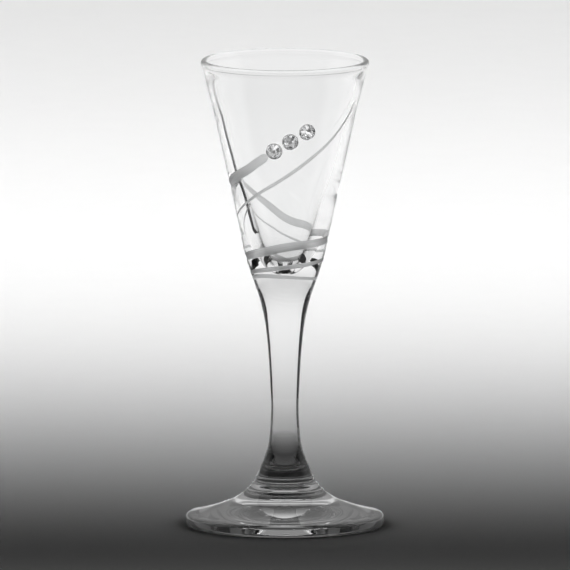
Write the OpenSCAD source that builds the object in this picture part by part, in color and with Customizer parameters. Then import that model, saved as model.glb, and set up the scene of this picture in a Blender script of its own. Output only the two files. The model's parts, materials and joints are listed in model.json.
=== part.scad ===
// Cordial glass: a conical bowl, a drawn stem and a pressed foot, fused hot, with a
// rising row of three flat-back stones glued to the front of the bowl.
// Millimetres, +Z up, the origin under the middle of the foot, the stones facing -Y.

/* [Overall] */
// Height of the whole glass
glass_h = 139; // [133:0.5:145]
// Outside diameter of the rim, over its bead
rim_d = 50; // [46:0.5:54]
// Diameter of the foot
foot_d = 58.8; // [54:0.2:64]

/* [Bowl] */
// Height at which the bowl is fused to the stem
joint_z = 72; // [70:0.5:74]
// Diameter of the fused joint between bowl and stem
joint_d = 17.9; // [16:0.1:19]
// Height of the lowest point inside the bowl
floor_z = 76; // [75.5:0.5:78]
// Thickness of the wall just under the rim bead
rim_wall = 1.6; // [1.2:0.1:2]
// Thickness of the wall at half the bowl's height
mid_wall = 3.2; // [2.4:0.1:3.6]
// Width of the fire-polished rim bead
bead_w = 2; // [1.8:0.1:2.4]

/* [Stem] */
// Diameter at the stem's waist
waist_d = 8.2; // [7:0.1:10]
// Height of the waist above the table
waist_z = 35; // [31:1:39]

/* [Foot] */
// Height at which the foot's neck is fused to the stem
neck_z = 16.4; // [16:0.1:17]
// Diameter of the fused joint between stem and foot
neck_d = 15.5; // [14:0.1:17]
// Height of the foot's rounded edge
edge_h = 3.7; // [3:0.1:4]
// Rise of the hollow under the foot
hollow_h = 1.6; // [1:0.1:2]
// Width of the flat ring the glass stands on
stand_w = 4; // [3:0.5:6]
// Height of the three fine ridges round the neck
ridge_h = 0.25; // [0.1:0.05:0.35]

/* [Stones] */
// Diameter of each stone over its girdle
stone_d = 4.8; // [4:0.1:5.2]
// Height of a stone above its foil
stone_h = 1.9; // [1.5:0.1:2.4]
// Thickness of the silvered foil disc under a stone
foil_t = 0.1; // [0.1:0.05:0.2]
// Thickness of the glue at the middle of a stone
glue_t = 0.15; // [0.1:0.05:0.3]
// Angle of the lowest stone from the front, turning towards +X
row_a = -9.5; // [-20:0.5:0]
// Angle from one stone to the next
row_step_a = 14.1; // [13.5:0.1:18]
// Height of the lowest stone
row_z = 114.2; // [109:0.2:117]
// Rise from one stone to the next
row_step_z = 2.9; // [2:0.1:3.4]

/* [Hidden] */
$fn = 96;

clear_glass = [0.90, 0.92, 0.93, 0.45];
rim_r = rim_d / 2;
foot_r = foot_d / 2;
joint_r = joint_d / 2;
neck_r = neck_d / 2;
waist_r = waist_d / 2;
// The bead is a circle whose top is the top of the glass
bead_r = bead_w / 2;
bead_x = rim_r - bead_r;
bead_z = glass_h - bead_r;
// The wall under the bead
lip_r = rim_r - 0.65;
lip_z = glass_h - 2.5;

// A smooth curve through points, with n straight steps between two of them
function span(a, b, c, d, t) =
    0.5 * (2 * b + (c - a) * t + (2 * a - 5 * b + 4 * c - d) * t * t
           + (3 * b - a - 3 * c + d) * t * t * t);
function smooth(p, n) = [
    for (i = [0 : len(p) - 2])
        let (a = i == 0 ? 2 * p[0] - p[1] : p[i - 1],
             d = i == len(p) - 2 ? 2 * p[i + 1] - p[i] : p[i + 2])
        for (k = [0 : n - 1]) span(a, p[i], p[i + 1], d, k / n),
    p[len(p) - 1]
];
// Points at fractions [across, up] of the way from one corner to another
function between(from, to, f) =
    [for (q = f) [from[0] + q[0] * (to[0] - from[0]), from[1] + q[1] * (to[1] - from[1])]];
function flip(p) = [for (i = [len(p) - 1 : -1 : 0]) p[i]];
function swap(p) = [for (q = p) [q[1], q[0]]];

// Outside of the bowl, from the joint up to the lip, as [radius, height]
bowl_side = smooth(between([joint_r, joint_z], [lip_r, lip_z],
    [[0, 0], [0.064, 0.043], [0.123, 0.087], [0.184, 0.136], [0.296, 0.26], [0.408, 0.385],
     [0.525, 0.51], [0.642, 0.635], [0.737, 0.735], [0.832, 0.836], [0.945, 0.94], [1, 1]]), 3);
function wall_at(z) = lookup(z, swap(bowl_side));
// Inside of the bowl, from the lip down to the middle of its floor
mid_z = 105.5;
in_top = lip_r - rim_wall;
in_mid = wall_at(mid_z) - mid_wall;
bowl_inside = smooth(concat(
    [[in_top, lip_z]],
    between([in_mid, mid_z], [in_top, lip_z], [[0.86, 0.88], [0.5, 0.52], [0, 0]]),
    between([0, floor_z], [in_mid, mid_z],
        [[0.735, 0.64], [0.54, 0.37], [0.42, 0.22], [0.3, 0.105], [0.155, 0.026], [0, 0]])), 4);
bead_arc = [for (a = [-40 : 10 : 210]) [bead_x + bead_r * cos(a), bead_z + bead_r * sin(a)]];

// Outside of the stem, from the neck up to the joint
stem_side = smooth(concat(
    between([waist_r, waist_z], [neck_r, neck_z],
        [[1, 1], [0.86, 0.935], [0.64, 0.84], [0.475, 0.755], [0.32, 0.66], [0.2, 0.565],
         [0.125, 0.465], [0.05, 0.28], [0, 0]]),
    between([waist_r, waist_z], [joint_r, joint_z],
        [[0.035, 0.147], [0.118, 0.343], [0.236, 0.54], [0.434, 0.733], [0.697, 0.88], [1, 1]])), 4);

// Outside of the foot, from the neck down to its edge
foot_top = smooth(between([foot_r, edge_h], [neck_r, neck_z],
    [[1, 1], [0.954, 0.803], [0.896, 0.659], [0.801, 0.492], [0.643, 0.319], [0.482, 0.208],
     [0.32, 0.116], [0.159, 0.042], [0.055, 0]]), 4);
function foot_at(z) = lookup(z, swap(flip(foot_top)));
// Fine ridges round the neck, each a small ledge that runs out downwards
ridge_z = [neck_z - 1.9, neck_z - 3.7, neck_z - 5.5];
function ledge(z, c) = exp(-pow((z - c) / (z > c ? 0.14 : 0.9), 2));
function ridge(z) = ridge_h * (ledge(z, ridge_z[0]) + ledge(z, ridge_z[1]) + ledge(z, ridge_z[2]));
ridge_end = neck_z - 8;
foot_neck = [for (i = [0 : 80]) let (z = neck_z - 8 * i / 80) [foot_at(z) + ridge(z), z]];
foot_edge = smooth([[foot_r - 1.2, edge_h], [foot_r - 0.55, edge_h * 0.92], [foot_r - 0.13, edge_h * 0.77],
    [foot_r, edge_h * 0.54], [foot_r - 0.02, edge_h * 0.24], [foot_r - 0.25, edge_h * 0.05],
    [foot_r - 0.6, 0]], 5);
stand_r = foot_r - 0.6 - stand_w;
foot_under = smooth([[stand_r, 0], [stand_r * 0.82, hollow_h * 0.38], [stand_r * 0.56, hollow_h * 0.76],
    [stand_r * 0.28, hollow_h * 0.95], [0, hollow_h]], 4);

// Puts its children on the wall at angle a and height z, with +Z straight out of the wall
module on_wall(a, z) {
    lean = atan((wall_at(z + 3) - wall_at(z - 3)) / 6);
    rotate([0, 0, a - 90]) translate([wall_at(z), 0, z]) rotate([0, 90 + lean, 0]) children();
}
module stone() {
    girdle_h = 0.4;
    translate([0, 0, glue_t + foil_t]) {
        cylinder(d = stone_d, h = girdle_h);
        translate([0, 0, girdle_h])
            cylinder(d1 = stone_d - 0.1, d2 = stone_d * 0.42, h = stone_h - girdle_h, $fn = 12);
    }
}
module foil() {
    translate([0, 0, glue_t]) cylinder(d = stone_d - 0.1, h = foil_t);
}
// The glue reaches from the flat foil to the round wall
module glue(a, z) {
    $fn = 256;
    difference() {
        on_wall(a, z) translate([0, 0, -1]) cylinder(d = stone_d - 0.4, h = 1 + glue_t);
        rotate_extrude() polygon(concat(bowl_side, [[0, lip_z], [0, joint_z]]));
    }
}

module bowl() {
    color(clear_glass) rotate_extrude()
        polygon(concat(bowl_side, bead_arc, bowl_inside, [[0, joint_z]]));
}
module stem() {
    color(clear_glass) rotate_extrude()
        polygon(concat(stem_side, [[0, joint_z], [0, neck_z]]));
}
module foot() {
    color(clear_glass) rotate_extrude()
        polygon(concat(foot_neck, [for (p = foot_top) if (p[1] < ridge_end - 0.05 && p[1] > edge_h + 0.05) p],
                       foot_edge, foot_under, [[0, neck_z]]));
}
module stone_lower() { color("whitesmoke") on_wall(row_a, row_z) stone(); }
module stone_middle() { color("whitesmoke") on_wall(row_a + row_step_a, row_z + row_step_z) stone(); }
module stone_upper() { color("whitesmoke") on_wall(row_a + 2 * row_step_a, row_z + 2 * row_step_z) stone(); }
module foil_lower() { color("silver") on_wall(row_a, row_z) foil(); }
module foil_middle() { color("silver") on_wall(row_a + row_step_a, row_z + row_step_z) foil(); }
module foil_upper() { color("silver") on_wall(row_a + 2 * row_step_a, row_z + 2 * row_step_z) foil(); }
module glue_lower() { color("gainsboro") glue(row_a, row_z); }
module glue_middle() { color("gainsboro") glue(row_a + row_step_a, row_z + row_step_z); }
module glue_upper() { color("gainsboro") glue(row_a + 2 * row_step_a, row_z + 2 * row_step_z); }

bowl();
stem();
foot();
stone_lower();
stone_middle();
stone_upper();
foil_lower();
foil_middle();
foil_upper();
glue_lower();
glue_middle();
glue_upper();
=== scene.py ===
import json
import math

import bmesh
import bpy
from mathutils import Matrix, Vector

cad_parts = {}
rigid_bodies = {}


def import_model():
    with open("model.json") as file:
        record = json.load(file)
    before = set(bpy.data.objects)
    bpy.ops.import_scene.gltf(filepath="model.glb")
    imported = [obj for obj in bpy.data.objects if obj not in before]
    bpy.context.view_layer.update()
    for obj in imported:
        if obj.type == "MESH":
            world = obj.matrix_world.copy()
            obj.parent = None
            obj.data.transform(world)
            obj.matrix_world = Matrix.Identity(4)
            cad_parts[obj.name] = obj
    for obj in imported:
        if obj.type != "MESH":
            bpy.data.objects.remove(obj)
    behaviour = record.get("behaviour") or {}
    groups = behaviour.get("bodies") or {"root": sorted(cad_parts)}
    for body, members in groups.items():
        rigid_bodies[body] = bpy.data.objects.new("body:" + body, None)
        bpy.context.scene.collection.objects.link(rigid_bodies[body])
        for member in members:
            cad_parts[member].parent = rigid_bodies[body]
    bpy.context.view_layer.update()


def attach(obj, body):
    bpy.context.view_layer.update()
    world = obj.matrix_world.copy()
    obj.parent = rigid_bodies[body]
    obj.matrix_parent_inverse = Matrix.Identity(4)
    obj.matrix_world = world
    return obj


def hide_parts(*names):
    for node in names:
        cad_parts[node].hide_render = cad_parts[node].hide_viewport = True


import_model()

MM = 0.001
scene = bpy.context.scene

# ---------------------------------------------------------------- dimensions, in millimetres
GLASS_H, RIM_D, FOOT_D = 139, 50, 58.8
JOINT_Z, JOINT_D, FLOOR_Z, RIM_WALL, MID_WALL, BEAD_W = 72, 17.9, 76, 1.6, 3.2, 2
WAIST_D, WAIST_Z = 8.2, 35
NECK_Z, NECK_D, EDGE_H, HOLLOW_H, STAND_W, RIDGE_H = 16.4, 15.5, 3.7, 1.6, 4, 0.25
STONE_D, STONE_H, FOIL_T, GLUE_T = 4.8, 1.9, 0.1, 0.15
ROW_A, ROW_STEP_A, ROW_Z, ROW_STEP_Z = -9.5, 14.1, 114.2, 2.9

RIM_R, FOOT_R, JOINT_R, NECK_R, WAIST_R = RIM_D / 2, FOOT_D / 2, JOINT_D / 2, NECK_D / 2, WAIST_D / 2
BEAD_R = BEAD_W / 2
BEAD_X, BEAD_Z = RIM_R - BEAD_R, GLASS_H - BEAD_R
LIP_R, LIP_Z = RIM_R - 0.65, GLASS_H - 2.5


# ---------------------------------------------------------------- outlines
def span(a, b, c, d, t):
    return tuple(
        0.5 * (2 * q + (r - p) * t + (2 * p - 5 * q + 4 * r - s) * t * t + (3 * q - p - 3 * r + s) * t ** 3)
        for p, q, r, s in zip(a, b, c, d)
    )


def smooth(p, n):
    out = []
    for i in range(len(p) - 1):
        a = tuple(2 * x - y for x, y in zip(p[0], p[1])) if i == 0 else p[i - 1]
        d = tuple(2 * x - y for x, y in zip(p[i + 1], p[i])) if i == len(p) - 2 else p[i + 2]
        out += [span(a, p[i], p[i + 1], d, k / n) for k in range(n)]
    return out + [tuple(p[-1])]


def between(a, b, f):
    return [(a[0] + x * (b[0] - a[0]), a[1] + y * (b[1] - a[1])) for x, y in f]


def at(path, z):
    """Radius of an outline at height z."""
    p = path if path[0][1] < path[-1][1] else path[::-1]
    if z <= p[0][1]:
        return p[0][0]
    for (r0, z0), (r1, z1) in zip(p, p[1:]):
        if z0 <= z <= z1 and z1 > z0:
            return r0 + (r1 - r0) * (z - z0) / (z1 - z0)
    return p[-1][0]


bowl_side = smooth(between((JOINT_R, JOINT_Z), (LIP_R, LIP_Z), [
    (0, 0), (0.064, 0.043), (0.123, 0.087), (0.184, 0.136), (0.296, 0.26), (0.408, 0.385),
    (0.525, 0.51), (0.642, 0.635), (0.737, 0.735), (0.832, 0.836), (0.945, 0.94), (1, 1)]), 8)
MID_Z = 105.5
IN_TOP = LIP_R - RIM_WALL
IN_MID = at(bowl_side, MID_Z) - MID_WALL
bowl_inside = smooth(
    [(IN_TOP, LIP_Z)]
    + between((IN_MID, MID_Z), (IN_TOP, LIP_Z), [(0.86, 0.88), (0.5, 0.52), (0, 0)])
    + between((0, FLOOR_Z), (IN_MID, MID_Z), [
        (0.735, 0.64), (0.54, 0.37), (0.42, 0.22), (0.3, 0.105), (0.155, 0.026), (0, 0)]), 8)
bead_arc = [(BEAD_X + BEAD_R * math.cos(math.radians(a)), BEAD_Z + BEAD_R * math.sin(math.radians(a)))
            for a in range(-40, 211, 8)]
stem_side = smooth(
    between((WAIST_R, WAIST_Z), (NECK_R, NECK_Z), [
        (1, 1), (0.86, 0.935), (0.64, 0.84), (0.475, 0.755), (0.32, 0.66), (0.2, 0.565),
        (0.125, 0.465), (0.05, 0.28), (0, 0)])
    + between((WAIST_R, WAIST_Z), (JOINT_R, JOINT_Z), [
        (0.035, 0.147), (0.118, 0.343), (0.236, 0.54), (0.434, 0.733), (0.697, 0.88), (1, 1)]), 8)
foot_top = smooth(between((FOOT_R, EDGE_H), (NECK_R, NECK_Z), [
    (1, 1), (0.954, 0.803), (0.896, 0.659), (0.801, 0.492), (0.643, 0.319), (0.482, 0.208),
    (0.32, 0.116), (0.159, 0.042), (0.055, 0)]), 10)
RIDGE_Z = [NECK_Z - 1.9, NECK_Z - 3.7, NECK_Z - 5.5]


def ridge(z):
    """The height of the ledges: each is steep above and runs out slowly below."""
    return RIDGE_H * sum(math.exp(-(((z - c) / (0.14 if z > c else 0.9)) ** 2)) for c in RIDGE_Z)


foot_neck = []
for i in range(161):
    z = NECK_Z - 8 * i / 160
    foot_neck.append((at(foot_top, z) + ridge(z), z))
foot_edge = smooth([
    (FOOT_R - 1.2, EDGE_H), (FOOT_R - 0.55, EDGE_H * 0.92), (FOOT_R - 0.13, EDGE_H * 0.77), (FOOT_R, EDGE_H * 0.54),
    (FOOT_R - 0.02, EDGE_H * 0.24), (FOOT_R - 0.25, EDGE_H * 0.05), (FOOT_R - 0.6, 0)], 8)
STAND_R = FOOT_R - 0.6 - STAND_W
foot_under = smooth([
    (STAND_R, 0), (STAND_R * 0.82, HOLLOW_H * 0.38), (STAND_R * 0.56, HOLLOW_H * 0.76),
    (STAND_R * 0.28, HOLLOW_H * 0.95), (0, HOLLOW_H)], 8)
foot_outline = foot_neck + [p for p in foot_top if EDGE_H + 0.05 < p[1] < NECK_Z - 8.05] + foot_edge + foot_under
bowl_outline = bowl_side + bead_arc + bowl_inside


def normals(path, flip=False):
    """Outward normals along an outline that runs with the solid on its left."""
    out = []
    for i, p in enumerate(path):
        a, b = path[max(i - 1, 0)], path[min(i + 1, len(path) - 1)]
        dx, dz = b[0] - a[0], b[1] - a[1]
        n = math.hypot(dx, dz) or 1
        out.append((dz / n, -dx / n) if not flip else (-dz / n, dx / n))
    return out


# ---------------------------------------------------------------- materials
def new_material(name):
    m = bpy.data.materials.new(name)
    m.use_nodes = True
    t = m.node_tree
    return m, t, t.nodes["Principled BSDF"]


def node(tree, kind, **inputs):
    n = tree.nodes.new(kind)
    for k, v in inputs.items():
        n.inputs[k.replace("_", " ")].default_value = v
    return n


def glass_material(name, colour, ior, wave, wave_scale):
    m, t, b = new_material(name)
    b.inputs["Base Color"].default_value = (*colour, 1)
    b.inputs["Roughness"].default_value = 0.0
    b.inputs["IOR"].default_value = ior
    b.inputs["Transmission Weight"].default_value = 1.0
    if wave:
        # the faint waviness of hand-worked hot glass
        co = node(t, "ShaderNodeTexCoord")
        noise = node(t, "ShaderNodeTexNoise", Scale=wave_scale, Detail=2.0, Roughness=0.4)
        bump = node(t, "ShaderNodeBump", Strength=wave, Distance=0.0004)
        t.links.new(co.outputs["Object"], noise.inputs["Vector"])
        t.links.new(noise.outputs["Fac"], bump.inputs["Height"])
        t.links.new(bump.outputs["Normal"], b.inputs["Normal"])
    return m


clear = glass_material("clear_glass", (0.989, 0.991, 0.991), 1.51, 0.03, 60)
crystal = glass_material("cut_crystal", (0.99, 0.99, 0.99), 1.56, 0, 1)

fused, t, b = new_material("fused_joint")
b.inputs["Alpha"].default_value = 0.0
b.inputs["IOR"].default_value = 1.0

ground, t, b = new_material("ground_glass")
b.inputs["IOR"].default_value = 1.51
b.inputs["Transmission Weight"].default_value = 0.75
b.inputs["Specular IOR Level"].default_value = 0.3
co = node(t, "ShaderNodeTexCoord")
grain = node(t, "ShaderNodeTexNoise", Scale=5200.0, Detail=3.0, Roughness=0.6)
streak_uv = node(t, "ShaderNodeUVMap")
streak_uv.uv_map = "grind"
streak_map = node(t, "ShaderNodeMapping")
streak_map.inputs["Scale"].default_value = (0.07, 2.6, 1.0)
streak = node(t, "ShaderNodeTexNoise", Scale=1.0, Detail=4.0, Roughness=0.6)
t.links.new(co.outputs["Object"], grain.inputs["Vector"])
t.links.new(streak_uv.outputs["UV"], streak_map.inputs["Vector"])
t.links.new(streak_map.outputs["Vector"], streak.inputs["Vector"])
tone = node(t, "ShaderNodeValToRGB")
tone.color_ramp.elements[0].position, tone.color_ramp.elements[0].color = 0.3, (0.55, 0.56, 0.565, 1)
tone.color_ramp.elements[1].position, tone.color_ramp.elements[1].color = 0.7, (0.84, 0.845, 0.85, 1)
t.links.new(streak.outputs["Fac"], tone.inputs["Fac"])
t.links.new(tone.outputs["Color"], b.inputs["Base Color"])
rough = node(t, "ShaderNodeMapRange")
rough.inputs["To Min"].default_value, rough.inputs["To Max"].default_value = 0.5, 0.72
t.links.new(streak.outputs["Fac"], rough.inputs["Value"])
t.links.new(rough.outputs["Result"], b.inputs["Roughness"])
bump1 = node(t, "ShaderNodeBump", Strength=0.35, Distance=0.00006)
bump2 = node(t, "ShaderNodeBump", Strength=0.25, Distance=0.00008)
t.links.new(grain.outputs["Fac"], bump1.inputs["Height"])
t.links.new(streak.outputs["Fac"], bump2.inputs["Height"])
t.links.new(bump1.outputs["Normal"], bump2.inputs["Normal"])
t.links.new(bump2.outputs["Normal"], b.inputs["Normal"])

silver, t, b = new_material("silver_foil")
b.inputs["Metallic"].default_value = 1.0
co = node(t, "ShaderNodeTexCoord")
n = node(t, "ShaderNodeTexNoise", Scale=2600.0, Detail=3.0)
r = node(t, "ShaderNodeMapRange")
r.inputs["To Min"].default_value, r.inputs["To Max"].default_value = 0.03, 0.12
c = node(t, "ShaderNodeValToRGB")
c.color_ramp.elements[0].color, c.color_ramp.elements[1].color = (0.80, 0.81, 0.82, 1), (0.92, 0.92, 0.92, 1)
t.links.new(co.outputs["Object"], n.inputs["Vector"])
t.links.new(n.outputs["Fac"], r.inputs["Value"])
t.links.new(n.outputs["Fac"], c.inputs["Fac"])
t.links.new(c.outputs["Color"], b.inputs["Base Color"])
t.links.new(r.outputs["Result"], b.inputs["Roughness"])

resin, t, b = new_material("clear_glue")
b.inputs["Base Color"].default_value = (0.93, 0.92, 0.89, 1)
b.inputs["IOR"].default_value = 1.49
b.inputs["Transmission Weight"].default_value = 1.0
co = node(t, "ShaderNodeTexCoord")
n = node(t, "ShaderNodeTexNoise", Scale=1800.0, Detail=2.0)
r = node(t, "ShaderNodeMapRange")
r.inputs["To Min"].default_value, r.inputs["To Max"].default_value = 0.05, 0.3
t.links.new(co.outputs["Object"], n.inputs["Vector"])
t.links.new(n.outputs["Fac"], r.inputs["Value"])
t.links.new(r.outputs["Result"], b.inputs["Roughness"])


# ---------------------------------------------------------------- mesh helpers
def make_object(name, verts, faces, mats, mat_index=None):
    me = bpy.data.meshes.new(name)
    me.from_pydata([Vector(v) * MM for v in verts], [], faces)
    for m in mats:
        me.materials.append(m)
    if mat_index:
        me.polygons.foreach_set("material_index", mat_index)
    me.update()
    ob = bpy.data.objects.new(name, me)
    scene.collection.objects.link(ob)
    return ob


def revolve(path, n, cap_start=False, cap_end=False):
    """Vertices and faces of a revolved outline with the solid on its left. A point on the axis closes the surface."""
    verts, rings, faces, bands = [], [], [], []
    for r, z in path:
        if r < 1e-6:
            rings.append([len(verts)])
            verts.append((0, 0, z))
        else:
            rings.append(list(range(len(verts), len(verts) + n)))
            verts += [(r * math.cos(2 * math.pi * k / n), r * math.sin(2 * math.pi * k / n), z) for k in range(n)]
    for i in range(len(rings) - 1):
        a, b = rings[i], rings[i + 1]
        for k in range(n):
            k2 = (k + 1) % n
            if len(a) == 1:
                faces.append((a[0], b[k2], b[k]))
            elif len(b) == 1:
                faces.append((a[k], a[k2], b[0]))
            else:
                faces.append((a[k], a[k2], b[k2], b[k]))
            bands.append(i)
    caps = []
    if cap_start:
        caps.append(len(faces))
        faces.append(tuple(reversed(rings[0])))
        bands.append(-1)
    if cap_end:
        caps.append(len(faces))
        faces.append(tuple(rings[-1]))
        bands.append(-1)
    return verts, faces, bands, caps


def set_normals(ob, fn):
    """Sets each corner's normal to fn(face, vertex position in mm), or leaves it to Blender where that is None."""
    me = ob.data
    out = [(0.0, 0.0, 0.0)] * len(me.loops)
    for p in me.polygons:
        p.use_smooth = True
        for li in p.loop_indices:
            n = fn(p, me.vertices[me.loops[li].vertex_index].co / MM)
            if n is not None:
                out[li] = n
    me.normals_split_custom_set(out)


def radial(co, nr, nz):
    r = math.hypot(co.x, co.y)
    if r < 1e-6:
        return (0.0, 0.0, 1.0 if nz > 0 else -1.0)
    return (nr * co.x / r, nr * co.y / r, nz)


def path_normal_lookup(path):
    """A function from (r, z) of a point of the outline to its normal, exact at the outline's own points."""
    ns = normals(path)
    table = {(round(r, 4), round(z, 4)): n for (r, z), n in zip(path, ns)}

    def look(r, z):
        n = table.get((round(r, 4), round(z, 4)))
        if n:
            return n
        best, out = 1e9, ns[0]
        for i in range(len(path) - 1):
            (r0, z0), (r1, z1) = path[i], path[i + 1]
            dr, dz = r1 - r0, z1 - z0
            l2 = dr * dr + dz * dz
            if l2 == 0:
                continue
            u = max(0, min(1, ((r - r0) * dr + (z - z0) * dz) / l2))
            d = math.hypot(r - r0 - u * dr, z - z0 - u * dz)
            if d < best:
                best = d
                a, b = ns[i], ns[i + 1]
                out = (a[0] + u * (b[0] - a[0]), a[1] + u * (b[1] - a[1]))
        k = math.hypot(*out)
        return (out[0] / k, out[1] / k)

    return look


def direction(az):
    """Unit vector at azimuth az, in degrees from the front towards +X."""
    a = math.radians(az)
    return Vector((math.sin(a), -math.cos(a), 0))


def wall_normal(az, z):
    s = (at(bowl_side, z + 1) - at(bowl_side, z - 1)) / 2
    k = math.hypot(1, s)
    return direction(az) / k + Vector((0, 0, -s / k))


def wall_point(az, z):
    return direction(az) * at(bowl_side, z) + Vector((0, 0, z))


# ---------------------------------------------------------------- the ground stripes
# Azimuth, height and width of each stripe along its way round the bowl
wide_stripe = [
    (-17.0, 112.5, 2.8), (-30, 109.7, 2.85), (-45, 107.0, 2.9), (-90, 101.0, 2.8), (-153, 91.8, 2.3), (-187, 87.9, 2.2),
    (-226, 86.6, 2.2), (-270, 85.8, 2.3), (-310, 85.4, 2.5), (-354, 84.7, 2.7), (-393, 82.8, 2.7), (-433, 80.7, 2.4),
    (-470, 78.9, 1.9), (-505, 77.2, 1.5), (-540, 75.8, 1.1), (-575, 74.6, 0.0)]
thin_stripe = [
    (70.3, 128.0, 0.0), (66, 126.0, 0.6), (62, 123.5, 0.8), (42.5, 116.5, 0.95), (19.4, 110.4, 1.1), (-3.7, 105.3, 1.1),
    (-31.4, 100.4, 0.9), (-48.9, 97.4, 0.7), (-75.6, 93.3, 0.55), (-110, 89.7, 0.55), (-150.5, 86.3, 0.6), (-171.6, 84.3, 0.65),
    (-198, 82.5, 0.7), (-235, 81.0, 0.9), (-270, 80.0, 1.1), (-312, 79.2, 1.35), (-355, 78.4, 1.45), (-395, 77.3, 1.4),
    (-427, 76.1, 1.1), (-455, 75.0, 0.0)]


def cutter(name, stripe, wheel, lead):
    """A closed tube that cuts a stripe: a wheel of the given radius that runs along the wall, as deep as the width asks."""
    pts = smooth(stripe, 26)
    length, run = 0.0, [0.0]
    spots = [wall_point(a, z) for a, z, w in pts]
    for p, q in zip(spots, spots[1:]):
        length += (q - p).length
        run.append(length)
    # even steps along the stripe
    step, rows, j = 0.45, [], 0
    for i in range(int(length / step) + 1):
        s = i * step
        while j < len(run) - 2 and run[j + 1] < s:
            j += 1
        u = (s - run[j]) / max(run[j + 1] - run[j], 1e-9)
        a, z, w = (pts[j][k] + u * (pts[j + 1][k] - pts[j][k]) for k in range(3))
        rows.append((s, a, z, max(w, 0.0)))
    seg, verts, faces, uvs = 72, [], [], []
    centres = []
    for s, a, z, w in rows:
        w = min(w, 1.98 * wheel)
        if s < lead:
            w *= math.sqrt(max(0.0, 1 - (1 - s / lead) ** 2))
        depth = wheel - math.sqrt(wheel * wheel - w * w / 4)
        if w < 0.04:
            depth = -0.02
        n = wall_normal(a, z)
        centres.append((wall_point(a, z) + n * (wheel - depth), n))
    for i, (c, n) in enumerate(centres):
        d = centres[min(i + 1, len(centres) - 1)][0] - centres[max(i - 1, 0)][0]
        d.normalize()
        side = d.cross(n).normalized()
        up = side.cross(d).normalized()
        for k in range(seg):
            t = 2 * math.pi * k / seg
            verts.append(c + (side * math.sin(t) - up * math.cos(t)) * wheel)
    for i in range(len(centres) - 1):
        for k in range(seg):
            k2 = (k + 1) % seg
            faces.append((i * seg + k, i * seg + k2, (i + 1) * seg + k2, (i + 1) * seg + k))
            s0, s1 = rows[i][0], rows[i + 1][0]
            v0, v1 = (k if k < seg / 2 else k - seg) * 2 * math.pi * wheel / seg, ((k + 1) if k < seg / 2 else k + 1 - seg) * 2 * math.pi * wheel / seg
            uvs.append([(s0, v0), (s0, v1), (s1, v1), (s1, v0)])
    faces.append(tuple(reversed(range(seg))))
    uvs.append([(0, 0)] * seg)
    faces.append(tuple(range((len(centres) - 1) * seg, len(centres) * seg)))
    uvs.append([(0, 0)] * seg)
    ob = make_object(name, verts, faces, [ground])
    layer = ob.data.uv_layers.new(name="grind")
    for p, uv in zip(ob.data.polygons, uvs):
        for li, c in zip(p.loop_indices, uv):
            layer.data[li].uv = c
    bm = bmesh.new()
    bm.from_mesh(ob.data)
    bmesh.ops.recalc_face_normals(bm, faces=bm.faces)
    bm.to_mesh(ob.data)
    bm.free()
    return ob


# ---------------------------------------------------------------- bowl, stem and foot
SEG = 256
verts, faces, bands, caps = revolve(bowl_outline, SEG, cap_start=True)
bowl = make_object("bowl_blown", verts, faces, [clear, fused], [1 if i in caps else 0 for i in range(len(faces))])
bowl.data.uv_layers.new(name="grind")
for tool in (cutter("cut_wide", wide_stripe, 3.4, 1.5), cutter("cut_thin", thin_stripe, 1.0, 0.6)):
    mod = bowl.modifiers.new("cut", "BOOLEAN")
    mod.operation, mod.solver, mod.object = "DIFFERENCE", "EXACT", tool
    mod.material_mode = "TRANSFER"
    done = bpy.data.meshes.new_from_object(bowl.evaluated_get(bpy.context.evaluated_depsgraph_get()))
    bowl.modifiers.clear()
    bowl.data = done
    bpy.data.objects.remove(tool)
GROUND = [i for i, m in enumerate(bowl.data.materials) if m and m.name.startswith("ground")]
FUSED = [i for i, m in enumerate(bowl.data.materials) if m and m.name.startswith("fused")]
print("bowl faces", len(bowl.data.polygons), "materials", [m.name for m in bowl.data.materials],
      "ground faces", sum(p.material_index in GROUND for p in bowl.data.polygons))
look = path_normal_lookup(bowl_outline)


def bowl_normal(p, co):
    if p.material_index in FUSED:
        return (0.0, 0.0, -1.0)
    if p.material_index in GROUND:
        return None
    return radial(co, *look(math.hypot(co.x, co.y), co.z))


# a stripe's border is a sharp edge
kinds = {}
for p in bowl.data.polygons:
    for e in p.edge_keys:
        kinds.setdefault(e, set()).add(p.material_index)
for e in bowl.data.edges:
    e.use_edge_sharp = len(kinds[e.key]) > 1
set_normals(bowl, bowl_normal)

verts, faces, bands, caps = revolve(stem_side, SEG, cap_start=True, cap_end=True)
stem = make_object("stem_drawn", verts, faces, [clear, fused], [1 if i in caps else 0 for i in range(len(faces))])
look_stem = path_normal_lookup(stem_side)
set_normals(stem, lambda p, co: (0, 0, 1.0 if co.z > 40 else -1.0) if p.material_index == 1
            else radial(co, *look_stem(math.hypot(co.x, co.y), co.z)))

outline = foot_outline[::-1]
verts, faces, bands, caps = revolve(outline, SEG, cap_end=True)
foot = make_object("foot_pressed", verts, faces, [clear, fused], [1 if i in caps else 0 for i in range(len(faces))])
look_foot = path_normal_lookup(outline)
set_normals(foot, lambda p, co: (0, 0, 1.0) if p.material_index == 1
            else radial(co, *look_foot(math.hypot(co.x, co.y), co.z)))
for ob, name in ((bowl, "bowl"), (stem, "stem"), (foot, "foot")):
    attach(ob, "root")
    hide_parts(name)


# clear glass throws next to no shadow
bowl.visible_shadow = foot.visible_shadow = False


# ---------------------------------------------------------------- stones
def wall_matrix(az, z):
    """Places a piece on the wall: its own +Z straight out, its +Y up the wall."""
    n = wall_normal(az, z)
    x = Vector((0, 0, 1)).cross(n).normalized()
    y = n.cross(x)
    m = Matrix((x, y, n)).transposed().to_4x4()
    m.translation = wall_point(az, z)
    return m


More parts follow.
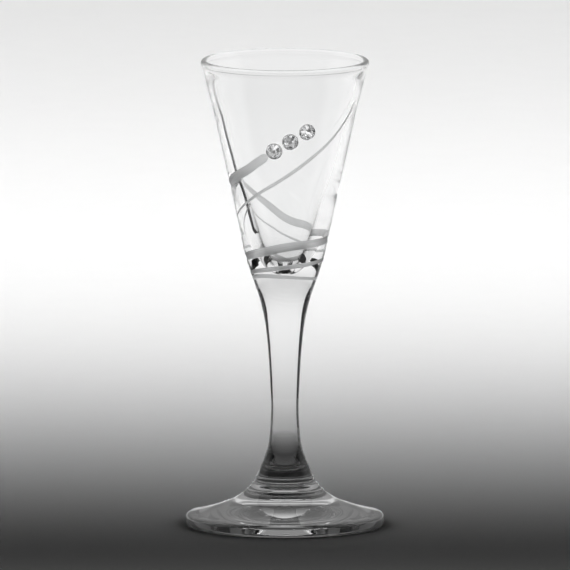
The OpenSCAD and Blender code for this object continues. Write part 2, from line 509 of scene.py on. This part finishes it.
def stone_mesh(turn):
    """A flat-back brilliant: table, stars, kites, girdle facets and a thin girdle."""
    R, g, n = STONE_D / 2, 0.3, 12
    base = GLUE_T + FOIL_T
    top = base + STONE_H
    crown = top - base - g
    rt, rs = 0.36 * R, 0.68 * R
    hs = crown * (R - rs * math.cos(math.pi / n)) / (R - rt)
    ang = lambda k: turn + 2 * math.pi * k / n
    pt = lambda r, k, z: (r * math.cos(ang(k)), r * math.sin(ang(k)), z)
    v, f = [], []
    table = [len(v) + i for i in range(n)]
    v += [pt(rt, k, top) for k in range(n)]
    star = [len(v) + i for i in range(n)]
    v += [pt(rs, k + 0.5, base + g + hs) for k in range(n)]
    gt = [len(v) + i for i in range(2 * n)]
    v += [pt(R, k / 2, base + g) for k in range(2 * n)]
    gb = [len(v) + i for i in range(2 * n)]
    v += [pt(R * 0.985, k / 2, base) for k in range(2 * n)]
    f.append(tuple(table))
    for k in range(n):
        k2 = (k + 1) % n
        f.append((table[k], star[k], table[k2]))
        f.append((table[k], star[k - 1], gt[2 * k], star[k]))
        f.append((star[k], gt[2 * k], gt[2 * k + 1]))
        f.append((star[k], gt[2 * k + 1], gt[(2 * k + 2) % (2 * n)]))
    for k in range(2 * n):
        k2 = (k + 1) % (2 * n)
        f.append((gt[k], gb[k], gb[k2], gt[k2]))
    f.append(tuple(reversed(gb)))
    return v, f


def disc(r, z0, z1, bevel, n=64):
    v, f, rings = [], [], []
    for rr, z in ((r - bevel, z0), (r, z0 + bevel), (r, z1 - bevel), (r - bevel, z1)):
        rings.append([len(v) + k for k in range(n)])
        v += [(rr * math.cos(2 * math.pi * k / n), rr * math.sin(2 * math.pi * k / n), z) for k in range(n)]
    for a, b in zip(rings, rings[1:]):
        f += [(a[k], a[(k + 1) % n], b[(k + 1) % n], b[k]) for k in range(n)]
    f.append(tuple(reversed(rings[0])))
    f.append(tuple(rings[-1]))
    return v, f


def fix_normals(ob):
    bm = bmesh.new()
    bm.from_mesh(ob.data)
    bmesh.ops.recalc_face_normals(bm, faces=bm.faces)
    bm.to_mesh(ob.data)
    bm.free()


for i, place in enumerate(("lower", "middle", "upper")):
    az, z = ROW_A + i * ROW_STEP_A, ROW_Z + i * ROW_STEP_Z
    m = wall_matrix(az, z)
    v, f = stone_mesh(math.radians(11))
    stone = make_object("crystal_" + place, [m @ Vector(p) for p in v], f, [crystal])
    fix_normals(stone)
    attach(stone, "root")
    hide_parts("stone_" + place)
    # the silvering reaches a hair into the stone, so no air is left between them
    v, f = disc(STONE_D / 2 - 0.06, GLUE_T, GLUE_T + FOIL_T + 0.02, 0.02)
    foil = make_object("silvering_" + place, [m @ Vector(p) for p in v], f, [silver])
    fix_normals(foil)
    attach(foil, "root")
    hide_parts("foil_" + place)
    # the glue: flat under the foil, round against the wall, with a small hollow edge
    n, v, f, rings = 64, [], [], []
    radii = (0.0, 0.6, 1.2, 1.8, 2.2, 2.42)
    inv = m.inverted()

    def on_wall(x, y):
        p = m @ Vector((x, y, 0))
        for _ in range(3):
            a = math.degrees(math.atan2(p.x, -p.y))
            q = wall_point(a, p.z)
            p = p + m.to_3x3() @ Vector((0, 0, 1)) * ((q - p).dot(wall_normal(a, p.z)))
        return inv @ p

    for rr in radii:
        rings.append([len(v) + k for k in range(n if rr else 1)])
        for k in range(n if rr else 1):
            t = 2 * math.pi * k / n
            q = on_wall(rr * math.cos(t), rr * math.sin(t))
            v.append((q.x, q.y, q.z + 0.012))
    edge = []
    for rr, up in ((2.25, 0.45), (2.18, 1.0)):
        rings_new = []
        for k in range(n):
            t = 2 * math.pi * k / n
            q = on_wall(rr * math.cos(t), rr * math.sin(t))
            rings_new.append(len(v))
            v.append((rr * math.cos(t), rr * math.sin(t), q.z + 0.012 + (GLUE_T - 0.008 - q.z - 0.012) * up))
        rings.append(rings_new)
    for a, b in zip(rings, rings[1:]):
        for k in range(n):
            k2 = (k + 1) % n
            f.append((a[0], b[k], b[k2]) if len(a) == 1 else (a[k], b[k], b[k2], a[k2]))
    f.append(tuple(rings[-1]))
    bed = make_object("glue_bed_" + place, [m @ Vector(p) for p in v], f, [resin])
    fix_normals(bed)
    for p in bed.data.polygons:
        p.use_smooth = len(p.vertices) < 10
    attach(bed, "root")
    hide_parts("glue_" + place)

# ---------------------------------------------------------------- stage
paper, t, b = new_material("pale_floor")
b.inputs["Roughness"].default_value = 0.6
b.inputs["Specular IOR Level"].default_value = 0.0
co = node(t, "ShaderNodeTexCoord")
n = node(t, "ShaderNodeTexNoise", Scale=90.0, Detail=4.0)
c = node(t, "ShaderNodeValToRGB")
c.color_ramp.elements[0].color, c.color_ramp.elements[1].color = (0.80, 0.80, 0.80, 1), (0.82, 0.82, 0.82, 1)
t.links.new(co.outputs["Object"], n.inputs["Vector"])
t.links.new(n.outputs["Fac"], c.inputs["Fac"])
t.links.new(c.outputs["Color"], b.inputs["Base Color"])
floor = make_object("floor", [(-9000, -9000, -0.02), (9000, -9000, -0.02), (9000, 9000, -0.02), (-9000, 9000, -0.02)], [(0, 1, 2, 3)], [paper])


# veils round the foot throw its thin shadow
for i, (r0, r1, z, alpha) in enumerate(((1, 25, 1.7, 0.85), (25, 29.2, 1.2, 0.85), (29.2, 31.5, 0.8, 0.75), (31.5, 35, 0.8, 0.3))):
    veil, t, b = new_material("shadow_veil_%d" % i)
    b.inputs["Alpha"].default_value = alpha
    v = [(r * math.cos(2 * math.pi * k / 96), r * math.sin(2 * math.pi * k / 96), z) for r in (r0, r1) for k in range(96)]
    ring = make_object("shadow_ring_%d" % i, v, [(k, (k + 1) % 96, 96 + (k + 1) % 96, 96 + k) for k in range(96)], [veil])
    ring.visible_camera = ring.visible_diffuse = ring.visible_glossy = ring.visible_transmission = False


def soft_light(name, x0, x1, y0, y1, height, watts_m2, spread):
    d = bpy.data.lights.new(name, "AREA")
    d.shape, d.size, d.size_y = "RECTANGLE", x1 - x0, y1 - y0
    d.energy = watts_m2 * (x1 - x0) * (y1 - y0)
    d.spread = math.radians(spread)
    ob = bpy.data.objects.new(name, d)
    ob.location = ((x0 + x1) / 2, (y0 + y1) / 2, height)
    ob.visible_camera = ob.visible_glossy = ob.visible_transmission = False
    scene.collection.objects.link(ob)
    return ob


soft_light("back_box_near", -0.62, 0.62, 0.25, 0.88, 1.1, 4.0, 42)
soft_light("back_box_middle", -0.9, 0.9, 0.88, 1.3, 1.1, 3.02, 42)
soft_light("back_box_far", -1.6, 1.6, 1.3, 9.5, 1.1, 2.71, 42)
soft_light("left_box", -5.0, -0.33, -0.3, 0.4, 0.5, 2.4, 55)
soft_light("right_box", 0.33, 5.0, -0.3, 0.4, 0.5, 2.4, 55)
soft_light("front_box", -5.0, 5.0, -5.0, -0.24, 0.5, 2.4, 55)

# the studio round the stage: grey walls behind with a bright band high up, dim at the sides, dark in front
world = bpy.data.worlds.new("studio")
scene.world = world
world.use_nodes = True
wt = world.node_tree
bg = wt.nodes["Background"]


def math_node(op, a, b=None, clamp=False):
    n = wt.nodes.new("ShaderNodeMath")
    n.operation, n.use_clamp = op, clamp
    for i, v in enumerate((a, b)):
        if v is None:
            continue
        if isinstance(v, (int, float)):
            n.inputs[i].default_value = v
        else:
            wt.links.new(v, n.inputs[i])
    return n.outputs[0]


def ramp(value, lo, hi):
    n = wt.nodes.new("ShaderNodeMapRange")
    n.interpolation_type = "SMOOTHSTEP"
    n.inputs["From Min"].default_value, n.inputs["From Max"].default_value = lo, hi
    wt.links.new(value, n.inputs["Value"])
    return n.outputs["Result"]


xyz = wt.nodes.new("ShaderNodeSeparateXYZ")
wt.links.new(wt.nodes.new("ShaderNodeTexCoord").outputs["Generated"], xyz.inputs[0])
X, Y, Z = xyz.outputs
flat = math_node("MAXIMUM", math_node("SQRT", math_node("ADD", math_node("MULTIPLY", X, X), math_node("MULTIPLY", Y, Y))), 0.001)
cos_back = math_node("DIVIDE", Y, flat)


def deg(a):
    return math.cos(math.radians(a))


def along(height, stops, scale=1.0):
    """A value that runs through (height, value) stops."""
    z0, z1 = stops[0][0], stops[-1][0]
    n = wt.nodes.new("ShaderNodeValToRGB")
    el = n.color_ramp.elements
    while len(el) < len(stops):
        el.new(0.5)
    for e, (z, g) in zip(el, stops):
        e.position, e.color = (z - z0) / (z1 - z0), (g / scale, g / scale, g / scale, 1)
    wt.links.new(math_node("DIVIDE", math_node("SUBTRACT", height, z0), z1 - z0), n.inputs["Fac"])
    return math_node("MULTIPLY", n.outputs["Color"], scale)


behind = along(Z, [(0, 0.26), (0.4, 0.24), (0.7, 0.34), (0.79, 0.7), (0.855, 0.7), (0.9, 0.2), (1, 0.15)])
beside = math_node("ADD", math_node("MULTIPLY", ramp(cos_back, deg(115), deg(95)), 0.06), 0.02)
is_behind = ramp(cos_back, deg(46), deg(34))
total = math_node("ADD", math_node("MULTIPLY", is_behind, behind),
                  math_node("MULTIPLY", math_node("SUBTRACT", 1.0, is_behind), beside))
below = math_node("LESS_THAN", Z, -0.001)
total = math_node("ADD", math_node("MULTIPLY", math_node("SUBTRACT", 1.0, below), total), math_node("MULTIPLY", below, 0.12))
wt.links.new(total, bg.inputs["Strength"])
bg.inputs["Color"].default_value = (1, 1, 1, 1)
# the walls show in the glass; the floor is lit by the boxes alone
world.cycles_visibility.diffuse = False

# graded light cards behind the glass: only the light that comes through the glass shows them
def light_card(name, path, reach, shine, one_sided=False, mirrored=False, fade=None):
    """A revolved card that reaches so many degrees to either side of straight behind.
    shine gives its brightness, one number or shine(height, radius, turn). A one-sided card is
    clear from its back, and fade gives the degrees between which a card goes clear towards its ends.
    A mirrored card shows in what the glass mirrors, the others in what it lets through."""
    global wt
    n, v, f = 120, [], []
    for r, z in path:
        v += [tuple(direction(180 + reach * (2 * k / n - 1)) * r + Vector((0, 0, z))) for k in range(n + 1)]
    for i in range(len(path) - 1):
        f += [(i * (n + 1) + k, i * (n + 1) + k + 1, (i + 1) * (n + 1) + k + 1, (i + 1) * (n + 1) + k) for k in range(n)]
    mat = bpy.data.materials.new(name)
    mat.use_nodes = True
    wt = mat.node_tree
    wt.nodes.clear()
    light = wt.nodes.new("ShaderNodeEmission")
    if callable(shine):
        xyz = wt.nodes.new("ShaderNodeSeparateXYZ")
        wt.links.new(wt.nodes.new("ShaderNodeTexCoord").outputs["Object"], xyz.inputs[0])
        x, y, z = (math_node("MULTIPLY", q, 1 / MM) for q in xyz.outputs)
        radius = math_node("SQRT", math_node("ADD", math_node("MULTIPLY", x, x), math_node("MULTIPLY", y, y)))
        # degrees from straight behind, to the right
        turn = math_node("MULTIPLY", math_node("ARCTAN2", x, y), 180 / math.pi)
        wt.links.new(shine(z, radius, turn), light.inputs["Strength"])
    else:
        light.inputs["Strength"].default_value = shine
    out = light.outputs[0]
    if fade:
        mix = wt.nodes.new("ShaderNodeMixShader")
        wt.links.new(ramp(math_node("ABSOLUTE", turn), *fade), mix.inputs[0])
        wt.links.new(out, mix.inputs[1])
        wt.links.new(wt.nodes.new("ShaderNodeBsdfTransparent").outputs[0], mix.inputs[2])
        out = mix.outputs[0]
    if one_sided:
        mix = wt.nodes.new("ShaderNodeMixShader")
        wt.links.new(wt.nodes.new("ShaderNodeNewGeometry").outputs["Backfacing"], mix.inputs[0])
        wt.links.new(out, mix.inputs[1])
        wt.links.new(wt.nodes.new("ShaderNodeBsdfTransparent").outputs[0], mix.inputs[2])
        out = mix.outputs[0]
    wt.links.new(out, wt.nodes.new("ShaderNodeOutputMaterial").inputs["Surface"])
    card = make_object(name, v, f, [mat])
    card.visible_camera = card.visible_diffuse = card.visible_shadow = False
    card.visible_glossy, card.visible_transmission = mirrored, not mirrored
    card.location.z = MM
    return card


def back_shine(height, radius, turn):
    """Graded by height, bright as far as an edge, then a dark strip, then bright again."""
    grade = along(height, [
        (10, 0.09), (12.5, 0.06), (14, 0.045), (18, 0.1), (21.5, 0.175), (23.3, 0.235), (25, 0.33), (28.7, 0.41),
        (32.2, 0.5), (35.8, 0.58), (39, 0.64), (44.8, 0.755), (50.8, 0.845), (56.7, 0.905), (60.6, 0.925), (65, 0.895),
        (69.8, 0.79), (72, 0.735), (75.5, 0.70), (77.5, 0.86), (80, 0.95), (84, 1.0), (93, 1.0), (98, 0.99),
        (108, 0.96), (152, 0.85), (162, 0.8), (172, 0.04), (236, 0.03)])
    is_right = math_node("GREATER_THAN", turn, 0.0)
    edge_left = along(height, [
        (10, 17), (14, 17), (15, 34), (17, 120), (78, 120), (79, 66), (82, 66),
        (86, 64), (90, 58), (94, 56), (99, 51.5), (104, 49.5), (113, 50.5), (114.5, 120), (236, 120)], 200)
    edge_right = along(height, [(10, 17), (14, 17), (15, 34), (17, 120), (236, 120)], 200)
    gap = along(height, [(10, 45), (14, 45), (16, 22), (75, 20), (78, 12), (82, 11), (86, 9), (90, 8), (99, 5.5), (104, 4), (111, 2.5), (236, 2.5)], 200)
    edge = math_node("ADD", math_node("MULTIPLY", is_right, edge_right),
                     math_node("MULTIPLY", math_node("SUBTRACT", 1.0, is_right), edge_left))
    past = math_node("SUBTRACT", math_node("ABSOLUTE", turn), edge)
    lit = math_node("ADD", math_node("SUBTRACT", 1.0, ramp(past, 0.0, 1.5)),
                    math_node("MULTIPLY", ramp(math_node("SUBTRACT", past, gap), 0.0, 3.0), 0.8))
    return math_node("MULTIPLY", grade, math_node("ADD", lit, 0.006))


def base_shine(height, radius, turn):
    """Grey, darker towards the middle and dark to the sides."""
    grade = along(radius, [(9, 0.12), (11, 0.2), (12.5, 0.3), (16, 0.36)])
    past = math_node("SUBTRACT", math_node("ABSOLUTE", turn), 58.0)
    return math_node("MULTIPLY", grade, math_node("SUBTRACT", 1.0, ramp(past, 0.0, 4.0)))


back_path = [(12.9, 10.6), (12, 13), (12, 66), (12.6, 70), (14, 73.5), (17, 77), (24, 82), (36, 88), (50, 94), (60, 100), (60, 152),
             (57, 180), (44, 212), (20, 232), (2, 236)]
light_card("light_card_back", back_path, 104, back_shine, fade=(76, 104))

# dark slats to either side of the stem give it its dark outline
black = bpy.data.materials.new("black_slats")
black.use_nodes = True
black.node_tree.nodes.clear()
light = black.node_tree.nodes.new("ShaderNodeEmission")
light.inputs["Strength"].default_value = 0.004
black.node_tree.links.new(light.outputs[0], black.node_tree.nodes.new("ShaderNodeOutputMaterial").inputs["Surface"])
v, f = [], []
for side, turns in ((-1, [(16, 29), (36, 27), (50, 22), (58, 18), (66, 11), (70, 9), (73, 8)]), (1, [(16, 31), (36, 30), (50, 26), (58, 22), (66, 13), (70, 11), (73, 10)])):
    for i in range(233):
        z = 15 + 0.25 * i
        first = at([(q[1], q[0]) for q in turns], z)
        # steeper where the stem narrows upwards
        tilt = math.radians(25) - math.atan((at(stem_side, z + 5) - at(stem_side, z + 3)) / 2)
        drop = 0.45 * math.tan(min(max(tilt, math.radians(6)), math.radians(45)))
        for k in range(7):
            t = math.radians(side * (first + 23 * k / 6))
            for r, h in ((10.6, drop), (11.5, -drop)):
                v.append((r * math.sin(t), r * math.cos(t), z + h))
        n0 = len(v) - 14
        f += [(n0 + 2 * k, n0 + 2 * k + 1, n0 + 2 * k + 3, n0 + 2 * k + 2) for k in range(6)]
slats = make_object("shade_slats", v, f, [black])
slats.visible_camera = slats.visible_diffuse = slats.visible_shadow = slats.visible_glossy = False
slats.location.z = MM

light_card("light_card_base", [(14, 73.5), (9.9, 73.5)], 120, base_shine, True)
light_card("shade_card_base", [(14, 80.5), (17.3, 80.5)], 96, 0.0, True)


def sheet_shine(height, radius, turn):
    """Bright, fading towards the sides."""
    fade = math_node("SUBTRACT", 1.0, ramp(math_node("ABSOLUTE", turn), 70.0, 105.0))
    return math_node("MULTIPLY", along(height, [(20, 0.9), (140, 0.85), (300, 0.3), (450, 0.3), (900, 0.55), (1500, 0.8), (3000, 0.8), (4500, 0.3)]), fade)


def neck_shine(height, radius, turn):
    return math_node("MULTIPLY", math_node("SUBTRACT", 1.0, ramp(math_node("ABSOLUTE", turn), 40.0, 50.0)), 0.66)


def foot_shine(height, radius, turn):
    """Bright straight behind, dark to either side, with a few narrow lights."""
    return along(math_node("ABSOLUTE", turn), [
        (0, 0.7), (4.8, 0.7), (5.4, 0.01), (17, 0.01), (17.6, 0.3), (18.4, 0.3), (19, 0.015), (34, 0.015), (34.6, 0.25), (35.4, 0.25), (36, 0.02),
        (53, 0.02), (54, 0.15), (56, 0.15), (57, 0.03), (96, 0.05)])


light_card("light_card_foot", [(60, -0.9), (60, 5.5)], 96, foot_shine)
light_card("shade_card_neck", [(24, 9.4), (13.4, 9.4)], 70, 0.035, True)
light_card("light_card_neck", [(13.4, 9.3), (15.6, 9.3)], 60, neck_shine, True)
light_card("light_card_neck_low", [(15.6, 8.1), (19, 8.1)], 60, neck_shine, True)
light_card("shade_card_rim", [(100, 139), (100, 220)], 100, 0.4, mirrored=True)
light_card("bright_sheet", [(2500, 20), (2500, 1500), (2400, 3000), (1500, 4500)], 108, sheet_shine, mirrored=True)

# small lamps in front, for the sparkle of the stones only
gems = bpy.data.collections.new("gems")
for place in ("lower", "middle", "upper"):
    gems.objects.link(bpy.data.objects["crystal_" + place])
for row in range(11):
    el = 14 * row - 70
    for k in range(-8, 9):
        chance = math.sin(12.9898 * k + 78.233 * row) * 43758.5453 % 1
        az = 14 * k + 7 * (row % 2)
        if abs(az) > 110:
            continue
        d = bpy.data.lights.new("sparkle_%d_%d" % (row, k + 8), "AREA")
        d.shape, d.size = "SQUARE", 0.021
        d.energy = (0.05 if chance < 0.5 else 0.45 + 2.1 * (chance - 0.5)) * math.pi * d.size * d.size
        ob = bpy.data.objects.new(d.name, d)
        away = direction(az) * math.cos(math.radians(el)) + Vector((0, 0, math.sin(math.radians(el))))
        ob.location = Vector((0, -0.021, 0.117)) + away * 0.11
        ob.rotation_mode = "QUATERNION"
        ob.rotation_quaternion = away.to_track_quat("Z", "Y")
        ob.visible_camera = False
        scene.collection.objects.link(ob)
        ob.light_linking.receiver_collection = gems

# ---------------------------------------------------------------- camera
ELEV = math.radians(7.9)
PX = 0.296 * MM
cam = bpy.data.cameras.new("camera")
cam.type = "ORTHO"
cam.ortho_scale = 570 * PX
cam.clip_start, cam.clip_end = 0.01, 60
camera = bpy.data.objects.new("camera", cam)
scene.collection.objects.link(camera)
target = Vector((0.03 * MM, 0, 71.6 * MM))
back = Vector((0, -math.cos(ELEV), math.sin(ELEV)))
camera.location = target + back * 2.0
camera.rotation_mode = "QUATERNION"
camera.rotation_quaternion = (-back).to_track_quat("-Z", "Y")
scene.camera = camera

scene.view_settings.view_transform = "Standard"
scene.view_settings.look = "None"
cy = scene.cycles
cy.max_bounces, cy.transmission_bounces, cy.glossy_bounces, cy.diffuse_bounces = 96, 96, 96, 3
cy.transparent_max_bounces = 32
cy.caustics_reflective = cy.caustics_refractive = False
cy.use_denoising = True
